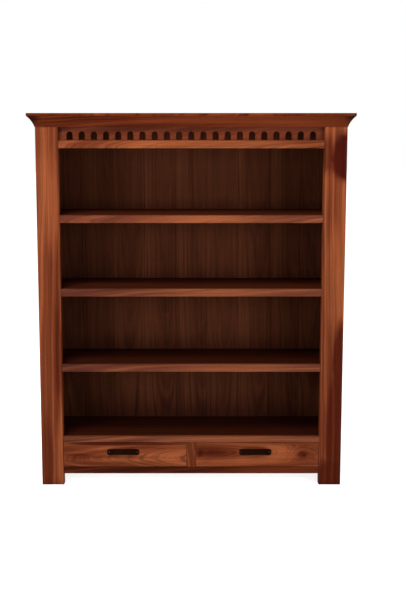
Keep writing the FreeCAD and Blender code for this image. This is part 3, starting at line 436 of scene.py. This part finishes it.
# painted shade at both tips of the front mould and along its left part, painted light on its right middle;
# one more band low on the mould is darker
dressBoard("crown_mould_front", "crown", "x", 4, pith=(0.05, 0.08), paintedShade=0.5,
           heartAndShade=[((-0.760, -0.20, 1.785), (0.085, 0.12, 0.055), 0.3, 0.7, 1.0),
                  ((0.765, -0.20, 1.785), (0.075, 0.12, 0.050), 0.3, 0.8, 1.0),
                  ((-0.50, -0.20, 1.75), (0.40, 0.10, 0.10), 0.4, 1.0, 0.35),
                  ((-0.15, -0.20, 1.742), (1.00, 0.10, 0.022), 0.2, 0.8, 0.50)],
           sapAndLight=[((0.28, -0.20, 1.76), (0.62, 0.20, 0.10), 0.4, 0.7, 1.0)])
dressBoard("crown_mould_left", "crown", "y", 5, paintedShade=0.5)
dressBoard("crown_mould_right", "crown", "y", 6, paintedShade=0.5)
dressBoard("top_rail_front", "crown", "x", 7)
# painted light: the frieze board lighter towards the right and along its lower band, below the crown's
# shade
dressBoard("frieze_board", "crown", "x", 8, pith=(0.02, 0.10), paintedShade=0.3, specular=0.14, tone=0.92,
           sapAndLight=[((0.50, -0.16, 1.71), (0.30, 0.20, 0.10), 0.4, 0.8, 0.9),
                ((0, -0.16, 1.685), (1.40, 0.20, 0.030), 0.3, 0.7, 0.85)])
dressBoard("frieze_rail", "case", "x", 9, pith=(0.03, 0.07), paintedShade=0.1,
           heartAndShade=[((-0.52, -0.18, 1.655), (0.26, 0.10, 0.10), 0.5, 0.9, 0.3)],
           sapAndLight=[((0.12, -0.18, 1.655), (0.52, 0.10, 0.10), 0.5, 0.8, 0.9)])
# painted shade: the bottom rail in the darker crown palette at a low tone, for its recess under the drawers
dressBoard("bottom_rail", "crown", "x", 10, tone=0.62,
           heartAndShade=[((-0.30, -0.18, 0.09), (0.62, 0.10, 0.10), 0.4, 0.6, 0.55)],
           sapAndLight=[((0.50, -0.18, 0.07), (0.34, 0.10, 0.10), 0.5, 0.7, 1.0)])
shelfTone = {
    # level: pale middle at x, z and its reach, darker left end, lip tone, board tone; the board tones are
    # painted light, lighter in the upper bays and darker in the lower ones
    "upper": (0.10, 1.306, 0.45, 0.25, 0.96, 1.5),
    "middle": (0.06, 0.955, 0.42, 0.45, 0.86, 1.25),
    "lower": (0.24, 0.588, 0.42, 0.75, 0.84, 0.85),
    "deck": (0.14, 0.232, 0.42, 0.45, 0.86, 0.85),
}
for number, (level, (sapX, height, sapReach, dark, lipTone, boardTone)) in enumerate(shelfTone.items()):
    dressBoard(level + "_lip", "case", "x", 11 + number, pith=(0.03 + 0.02 * number, 0.08), paintedShade=0.1,
               specular=0.2, tone=lipTone,
               sapAndLight=[((sapX, -0.18, height), (sapReach, 0.10, 0.10), 0.5, 0.9, 1.0)],
               heartAndShade=[((-0.60, -0.18, height), (0.24, 0.10, 0.10), 0.4, 0.9, dark)])
    dressBoard(level + "_board", "inner", "x", 15 + number, pith=(0.02, 0.14), specular=0.04,
               roughAdd=0.1, paintedShade=0.3, paintedShadeReach=0.06, tone=boardTone)
dressBoard("drawer_divider", "case", "z", 19, tone=0.88)

# sides
for number, side in enumerate(("left", "right")):
    dressBoard("post_rear_" + side, "case", "z", 20 + number, tone=0.85)
    dressBoard("side_panel_" + side, "case", "z", 22 + number, pith=(0.14, 0.03), ringWidth=0.02, tone=0.9)
    dressBoard("side_rail_top_" + side, "case", "y", 24 + number)
    dressBoard("side_rail_bottom_" + side, "case", "y", 26 + number, tone=0.9)
    dressBoard("shelf_cleats_" + side, "inner", "y", 28 + number)
    dressBoard("drawer_runner_" + side, "drawerBox", "y", 30 + number)
dressBoard("drawer_runner_centre", "drawerBox", "y", 32)
dressBoard("drawer_stops", "drawerBox", "x", 33)

# back: painted shade, darker towards the foot of each bay and in the corners of the lower ones
backShade = [
    # centre, reach, ragged, softness, strength
    ((0, 0.20, 1.300), (2.0, 0.2, 0.105), 0.2, 1.0, 0.35),
    ((0, 0.20, 0.945), (2.0, 0.2, 0.125), 0.2, 1.0, 0.55),
    ((0, 0.20, 0.590), (2.0, 0.2, 0.125), 0.2, 1.0, 0.80),
    ((0, 0.20, 0.215), (2.0, 0.2, 0.290), 0.2, 1.0, 0.95),
    ((-0.70, 0.20, 0.58), (0.14, 0.2, 0.50), 0.3, 1.0, 0.80),
    ((0.70, 0.20, 0.58), (0.14, 0.2, 0.50), 0.3, 1.0, 0.80),
]
for number in range(1, 10):
    dressBoard("back_board_%d" % number, "back", "z", 33 + number, pith=(0.03 * (number % 3), 0.30),
               wander=0.025, lean=0.01, ringWidth=0.02, streaks=0.18, heartAndShade=backShade, insideOnly=True,
               roughAdd=0.15, edge=0.001, paintedShade=0.35, paintedShadeReach=0.5)
dressBoard("back_rail_top", "inner", "x", 43)
dressBoard("back_rail_bottom", "inner", "x", 44)

# drawers: left front darker in thin bands along its top edge and across it, dark core and a swirling knot
# in the right one; painted highlights below both pulls
dressBoard("left_drawer_front", "case", "x", 45, pith=(0.02, 0.09), wander=0.07, lean=0.05,
           heartAndShade=[((-0.34, -0.18, 0.208), (0.38, 0.10, 0.013), 0.35, 0.5, 0.90),
                  ((-0.57, -0.18, 0.152), (0.14, 0.10, 0.013), 0.4, 0.7, 0.80),
                  ((-0.20, -0.18, 0.185), (0.16, 0.10, 0.016), 0.5, 0.8, 0.55),
                  ((-0.60, -0.18, 0.155), (0.32, 0.10, 0.10), 0.6, 1.0, 0.52)],
           sapAndLight=[((-0.10, -0.18, 0.145), (0.18, 0.10, 0.040), 0.5, 0.8, 1.0),
                # painted highlight on the wood just below the pull: this band and the next
                ((-0.38, -0.18, 0.124), (0.30, 0.10, 0.013), 0.4, 0.7, 0.9),
                ((-0.34, -0.18, 0.129), (0.12, 0.10, 0.012), 0.4, 0.7, 1.0)])
dressBoard("right_drawer_front", "case", "x", 52, pith=(-0.02, 0.09), wander=0.07, lean=-0.05, tone=1.06,
           heartAndShade=[((0.046, -0.18, 0.162), (0.036, 0.10, 0.046), 0.8, 0.9, 0.95),
                  ((0.120, -0.18, 0.162), (0.17, 0.10, 0.024), 0.6, 0.8, 0.80),
                  ((0.120, -0.18, 0.165), (0.25, 0.10, 0.09), 0.6, 1.0, 0.78),
                  ((0.545, -0.18, 0.154), (0.044, 0.10, 0.026), 0.6, 0.8, 0.80)],
           sapAndLight=[((0.44, -0.18, 0.16), (0.13, 0.10, 0.060), 0.6, 0.8, 1.0),
                # painted highlight on the wood just below the pull
                ((0.26, -0.18, 0.121), (0.26, 0.10, 0.020), 0.4, 0.6, 1.0)],
           knots=[((0.545, -0.18, 0.152), (0.12, 0.20, 0.060), 0.4, 1.0, 1.1)])
for number, side in enumerate(("left_drawer_", "right_drawer_")):
    dressBoard(side + "side_left", "drawerBox", "y", 46 + 7 * number)
    dressBoard(side + "side_right", "drawerBox", "y", 47 + 7 * number)
    dressBoard(side + "back", "drawerBox", "x", 48 + 7 * number)
    dressBoard(side + "bottom", "drawerBox", "x", 49 + 7 * number)
print("timber dressed")


# small helpers for modelling
def startPiece(name, size):
    # give a fresh primitive its size and name, settle it into its mesh and open it for editing
    piece = bpy.context.object
    piece.name = piece.data.name = name
    piece.scale = size
    bpy.ops.object.transform_apply(location=True, rotation=True, scale=True)
    bpy.ops.object.mode_set(mode="EDIT")
    return piece


def pick(kind, wanted):
    # in edit mode, select the corners, edges or faces that pass a test on place and direction
    bpy.ops.mesh.select_mode(type=kind)
    bpy.ops.mesh.select_all(action="DESELECT")
    shape = bmesh.from_edit_mesh(bpy.context.object.data)
    if kind == "FACE":
        for face in shape.faces:
            face.select_set(wanted(face.calc_center_median(), face.normal))
    elif kind == "EDGE":
        for line in shape.edges:
            start, end = line.verts[0].co, line.verts[1].co
            line.select_set(wanted((start + end) / 2, (end - start).normalized()))
    else:
        for corner in shape.verts:
            corner.select_set(wanted(corner.co, corner.normal))
    bmesh.update_edit_mesh(bpy.context.object.data)


def closePiece(piece, smoothAngle):
    # tidy the shell, leave edit mode and smooth its gentle turns
    bpy.ops.mesh.select_all(action="SELECT")
    bpy.ops.mesh.remove_doubles(threshold=0.00001)
    bpy.ops.mesh.normals_make_consistent(inside=False)
    bpy.ops.object.mode_set(mode="OBJECT")
    bpy.ops.object.shade_smooth_by_angle(angle=math.radians(smoothAngle))
    piece.select_set(False)


def joinPieces(first, others):
    bpy.ops.object.select_all(action="DESELECT")
    for other in others:
        other.select_set(True)
    first.select_set(True)
    bpy.context.view_layer.objects.active = first
    bpy.ops.object.join()
    first.select_set(False)
    return first


def copyPiece(piece, name, step):
    # a copy with its own mesh, moved within that mesh
    bpy.ops.object.select_all(action="DESELECT")
    piece.select_set(True)
    bpy.context.view_layer.objects.active = piece
    bpy.ops.object.duplicate()
    copy = bpy.context.object
    copy.name = copy.data.name = name
    bpy.ops.object.mode_set(mode="EDIT")
    bpy.ops.mesh.select_all(action="SELECT")
    bpy.ops.transform.translate(value=step)
    bpy.ops.object.mode_set(mode="OBJECT")
    copy.select_set(False)
    return copy


def cutSlot(piece, place, size, turn):
    # sink a narrow slot into the piece with a cutter that is then thrown away
    bpy.ops.mesh.primitive_cube_add(size=1, location=place, rotation=(0, turn, 0))
    cutter = bpy.context.object
    cutter.scale = size
    bpy.ops.object.select_all(action="DESELECT")
    piece.select_set(True)
    bpy.context.view_layer.objects.active = piece
    slot = piece.modifiers.new("slot", "BOOLEAN")
    slot.operation = "DIFFERENCE"
    slot.solver = "EXACT"
    slot.object = cutter
    bpy.ops.object.modifier_apply(modifier=slot.name)
    bpy.data.objects.remove(cutter)
    piece.select_set(False)


# forged pull: a flat bar bent to a bow that rises in the middle, on two plates with clipped ends
bowPull = {"centreX": -0.33275, "centreZ": 0.165, "nextPull": 0.6455, "faceY": -0.179,
           "bowRadius": 0.08488, "bowCentreY": -0.11762, "turn": 90, "steps": 30, "bar": 0.009,
           "band": 0.029, "corner": 0.0026, "rise": 0.007, "plateFrom": 0.050, "plateTo": 0.078,
           "plateThick": 0.003, "plateHalf": 0.015, "tipHalf": 0.010, "clip": 0.009, "plateBevel": 0.0009,
           "archReach": 0.0665, "rounding": 3, "smooth": 40}
near = 0.0001  # two places this close are the same


def bendBow(pull):
    half = math.radians(pull["turn"]) / 2
    bpy.ops.mesh.primitive_plane_add(size=1, rotation=(0, math.pi / 2, -half),
                                     location=(pull["centreX"] - pull["bowRadius"] * math.sin(half),
                                               pull["bowCentreY"] - pull["bowRadius"] * math.cos(half),
                                               pull["centreZ"]))
    bow = startPiece("bow", (pull["band"], pull["bar"], 1))
    bpy.ops.mesh.select_all(action="SELECT")
    bpy.ops.mesh.bevel(offset=pull["corner"], segments=pull["rounding"], affect="VERTICES")
    bpy.ops.mesh.select_all(action="SELECT")
    bpy.ops.mesh.spin(steps=pull["steps"], angle=-2 * half, axis=(0, 0, 1),
                      center=(pull["centreX"], pull["bowCentreY"], pull["centreZ"]))
    pick("VERT", lambda place, way: abs(place.x - pull["centreX"]) < 5 * near)
    bpy.ops.transform.translate(value=(0, 0, pull["rise"]), use_proportional_edit=True,
                                proportional_edit_falloff="INVERSE_SQUARE",
                                proportional_size=pull["archReach"])
    bpy.ops.mesh.select_mode(type="FACE")
    bpy.ops.mesh.select_all(action="SELECT")
    bpy.ops.mesh.bisect(plane_co=(0, pull["faceY"] - pull["plateThick"] / 2, 0), plane_no=(0, 1, 0),
                        use_fill=True, clear_outer=True)
    closePiece(bow, pull["smooth"])
    return bow


def forgePlate(pull, hand):
    middle = (pull["plateFrom"] + pull["plateTo"]) / 2
    tip = pull["centreX"] + hand * pull["plateTo"]
    front = pull["faceY"] - pull["plateThick"]
    bpy.ops.mesh.primitive_cube_add(size=1, location=(pull["centreX"] + hand * middle,
                                                      pull["faceY"] - pull["plateThick"] / 2,
                                                      pull["centreZ"]))
    plate = startPiece("plate", (pull["plateTo"] - pull["plateFrom"], pull["plateThick"],
                                 2 * pull["plateHalf"]))
    bpy.ops.mesh.select_all(action="SELECT")
    bpy.ops.mesh.bisect(plane_co=(tip - hand * pull["clip"], 0, 0), plane_no=(1, 0, 0))
    pick("VERT", lambda place, way: abs(place.x - tip) < near)
    bpy.ops.transform.resize(value=(1, 1, pull["tipHalf"] / pull["plateHalf"]),
                             center_override=(tip, front, pull["centreZ"]))
    pick("EDGE", lambda place, way: place.y < front + 2 * near and not (
        abs(way.z) > 0.9 and abs(place.x - tip + hand * pull["clip"]) < near))
    bpy.ops.mesh.bevel(offset=pull["plateBevel"], segments=pull["rounding"], affect="EDGES")
    closePiece(plate, pull["smooth"])
    return plate


leftPull = joinPieces(bendBow(bowPull), [forgePlate(bowPull, -1), forgePlate(bowPull, 1)])
leftPull.name = leftPull.data.name = "leftPull"
rightPull = copyPiece(leftPull, "rightPull", (bowPull["nextPull"], 0, 0))

# slotted dome screws that hold the pulls
pullScrew = {"headRadius": 0.004, "rim": 0.0007, "dome": 0.002, "shankRadius": 0.002, "shank": 0.016,
             "at": 0.069, "slot": (0.0075, 0.0009, 0.0009), "turns": (0.5, -0.9), "sides": 24,
             "domeSteps": ((0.0009, 0.0007), (0.0011, 0.0004), (0.0010, 0.0002)), "point": 0.3,
             "taperFrom": 0.8, "smooth": 40}


def turnScrew(screw, pull, hand, turn):
    front = pull["faceY"] - pull["plateThick"]
    x, z = pull["centreX"] + hand * screw["at"], pull["centreZ"]
    bpy.ops.mesh.primitive_cylinder_add(vertices=screw["sides"], radius=screw["headRadius"],
                                        depth=screw["rim"], location=(x, front - screw["rim"] / 2, z),
                                        rotation=(math.pi / 2, 0, 0))
    piece = startPiece("pullScrew", (1, 1, 1))
    for inward, outward in screw["domeSteps"]:
        pick("FACE", lambda place, way: way.y < -0.9 and place.y < front - screw["rim"] * 0.9)
        bpy.ops.mesh.inset(thickness=inward)
        bpy.ops.transform.translate(value=(0, -outward, 0))
    pick("FACE", lambda place, way: way.y > 0.9)
    bpy.ops.mesh.inset(thickness=screw["headRadius"] - screw["shankRadius"])
    for share in (screw["taperFrom"], 1 - screw["taperFrom"]):
        bpy.ops.mesh.extrude_region_move(TRANSFORM_OT_translate={"value": (0, screw["shank"] * share, 0)})
    bpy.ops.transform.resize(value=(screw["point"], 1, screw["point"]),
                             center_override=(x, front + screw["shank"], z))
    closePiece(piece, screw["smooth"])
    long, deep, wide = screw["slot"]
    cutSlot(piece, (x, front - screw["dome"] + 2 * near, z), (long, 2 * deep, wide), turn)
    return piece


leftScrews = [turnScrew(pullScrew, bowPull, hand, turn) for hand, turn in zip((-1, 1), pullScrew["turns"])]
leftScrews = joinPieces(leftScrews[0], leftScrews[1:])
leftScrews.name = leftScrews.data.name = "leftPullScrews"
rightScrews = copyPiece(leftScrews, "rightPullScrews", (bowPull["nextPull"], 0, 0))

# countersunk cross-head screws in the back boards
backScrew = {"headRadius": 0.004, "sink": 0.002, "shankRadius": 0.002, "length": 0.028, "faceY": 0.218,
             "recess": (0.0044, 0.0022, 0.0009), "fromEdge": 0.029, "rows": (0.086, 1.757), "sides": 16,
             "outerEdge": 0.6805, "firstJoint": -0.553, "jointStep": 0.158, "joints": 8, "point": 0.2,
             "taperFrom": 0.85, "smooth": 30}
boardJoints = [backScrew["firstJoint"] + backScrew["jointStep"] * step
               for step in range(backScrew["joints"])]
boardEdges = [-backScrew["outerEdge"], *boardJoints, backScrew["outerEdge"]]
screwColumns = [x + side * backScrew["fromEdge"] for low, high in zip(boardEdges, boardEdges[1:])
                for x, side in ((low, 1), (high, -1))]


def driveScrew(screw, x, z):
    bpy.ops.mesh.primitive_cone_add(vertices=screw["sides"], radius1=screw["shankRadius"],
                                    radius2=screw["headRadius"], depth=screw["sink"],
                                    rotation=(-math.pi / 2, 0, 0),
                                    location=(x, screw["faceY"] - screw["sink"] / 2, z))
    piece = startPiece("backScrew", (1, 1, 1))
    shank = screw["length"] - screw["sink"]
    pick("FACE", lambda place, way: way.y < -0.9)
    for share in (screw["taperFrom"], 1 - screw["taperFrom"]):
        bpy.ops.mesh.extrude_region_move(TRANSFORM_OT_translate={"value": (0, -shank * share, 0)})
    bpy.ops.transform.resize(value=(screw["point"], 1, screw["point"]),
                             center_override=(x, screw["faceY"] - screw["length"], z))
    closePiece(piece, screw["smooth"])
    for turn in (0, math.pi / 2):
        cutSlot(piece, (x, screw["faceY"], z), screw["recess"], turn)
    return piece


firstScrew = driveScrew(backScrew, screwColumns[0], backScrew["rows"][0])
screwPlaces = [(x, z) for z in backScrew["rows"] for x in screwColumns]
copies = [copyPiece(firstScrew, "backScrew", (x - screwColumns[0], 0, z - backScrew["rows"][0]))
          for x, z in screwPlaces[1:]]
backScrews = joinPieces(firstScrew, copies)
backScrews.name = backScrews.data.name = "backScrews"
print("metal pieces modelled")


# forged and blackened metal: hammer marks, pits and a brown bloom
forgedSkin, given, made = startGroup(
    "forgedSkin", [("Vector", "vector"), ("Marks", "float"), ("Bloom", "float")],
    [("Height", "float"), ("Bloom", "float")])
tree = forgedSkin
hammer = addNode(tree, "ShaderNodeTexVoronoi", {"Vector": given["Vector"], "Scale": given["Marks"],
                                                "Smoothness": 0.6}, feature="SMOOTH_F1").outputs["Distance"]
pits = noise(tree, given["Vector"], 1400, 3, 0.6).outputs[0]
patches = noise(tree, given["Vector"], 130, 4, 0.65).outputs[0]
tree.links.new(calc(tree, "ADD", hammer, calc(tree, "MULTIPLY", pits, 0.25)), made["Height"])
tree.links.new(calc(tree, "MULTIPLY", ramp(tree, patches, 0.42, 0.68), given["Bloom"], clamp=True),
               made["Bloom"])

metals = {
    # base, bloom, rubbed edge, metallic, roughness low and high, hammer marks per metre, edge
    "antiqueIron": ((0.014, 0.0035, 0.0018), (0.030, 0.006, 0.003), (0.075, 0.030, 0.019), 0.85,
                    (0.42, 0.62), 150, 0.0008),
    "blackenedSteel": ((0.030, 0.026, 0.024), (0.060, 0.026, 0.012), (0.22, 0.19, 0.16), 0.9,
                       (0.32, 0.52), 700, 0.0004),
}


# how far rust bloom, rubbed edges and relief show on every metal piece
metalWear = {"bloom": 0.55, "breakup": 0.3, "rubbed": 0.7, "dulled": 0.5, "bloomRough": 0.2,
             "polished": 0.12, "relief": 0.8, "depth": 0.0008, "specular": 0.05}


def makeMetal(name):
    base, bloom, rubbed, metallic, (smooth, rough), marks, edge = metals[name]
    finish = bpy.data.materials.new(name)
    finish.use_nodes = True
    tree = finish.node_tree
    shader = tree.nodes["Principled BSDF"]
    coords = addNode(tree, "ShaderNodeTexCoord")
    skin = addNode(tree, "ShaderNodeGroup", node_tree=forgedSkin)
    skin.inputs["Marks"].default_value = marks
    skin.inputs["Bloom"].default_value = metalWear["bloom"]
    wear = addNode(tree, "ShaderNodeGroup", node_tree=edgeWear)
    wear.inputs["Radius"].default_value = edge
    wear.inputs["Breakup"].default_value = metalWear["breakup"]
    for group in (skin, wear):
        tree.links.new(coords.outputs["Object"], group.inputs["Vector"])
    color = blendColor(tree, skin.outputs["Bloom"], (*base, 1), (*bloom, 1))
    rub = calc(tree, "MULTIPLY", wear.outputs["Mask"], metalWear["rubbed"])
    tree.links.new(blendColor(tree, rub, color, (*rubbed, 1)), shader.inputs["Base Color"])
    dulled = calc(tree, "MULTIPLY", skin.outputs["Bloom"], metalWear["dulled"])
    tree.links.new(calc(tree, "SUBTRACT", metallic, dulled), shader.inputs["Metallic"])
    gloss = calc(tree, "ADD", ramp(tree, skin.outputs["Height"], 0.2, 0.8, smooth, rough),
                 calc(tree, "MULTIPLY", skin.outputs["Bloom"], metalWear["bloomRough"]))
    polish = calc(tree, "MULTIPLY", wear.outputs["Mask"], metalWear["polished"])
    tree.links.new(calc(tree, "SUBTRACT", gloss, polish, clamp=True), shader.inputs["Roughness"])
    relief = addNode(tree, "ShaderNodeBump", {"Height": skin.outputs["Height"],
                                              "Normal": wear.outputs["Normal"],
                                              "Strength": metalWear["relief"],
                                              "Distance": metalWear["depth"]})
    tree.links.new(relief.outputs["Normal"], shader.inputs["Normal"])
    shader.inputs["Specular IOR Level"].default_value = metalWear["specular"]
    return finish


antiqueIron = makeMetal("antiqueIron")
blackenedSteel = makeMetal("blackenedSteel")
for piece, node, body, finish, slotName in (
        (leftPull, "left_drawer_pull", "left_drawer", antiqueIron, "antique_iron"),
        (rightPull, "right_drawer_pull", "right_drawer", antiqueIron, "antique_iron"),
        (leftScrews, "left_drawer_pull_screws", "left_drawer", blackenedSteel, "screw_steel"),
        (rightScrews, "right_drawer_pull_screws", "right_drawer", blackenedSteel, "screw_steel"),
        (backScrews, "back_screws", "case", blackenedSteel, "screw_steel")):
    piece.data.materials.clear()
    piece.data.materials.append(finish)
    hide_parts(node)
    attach(piece, body)
print("metal pieces dressed")
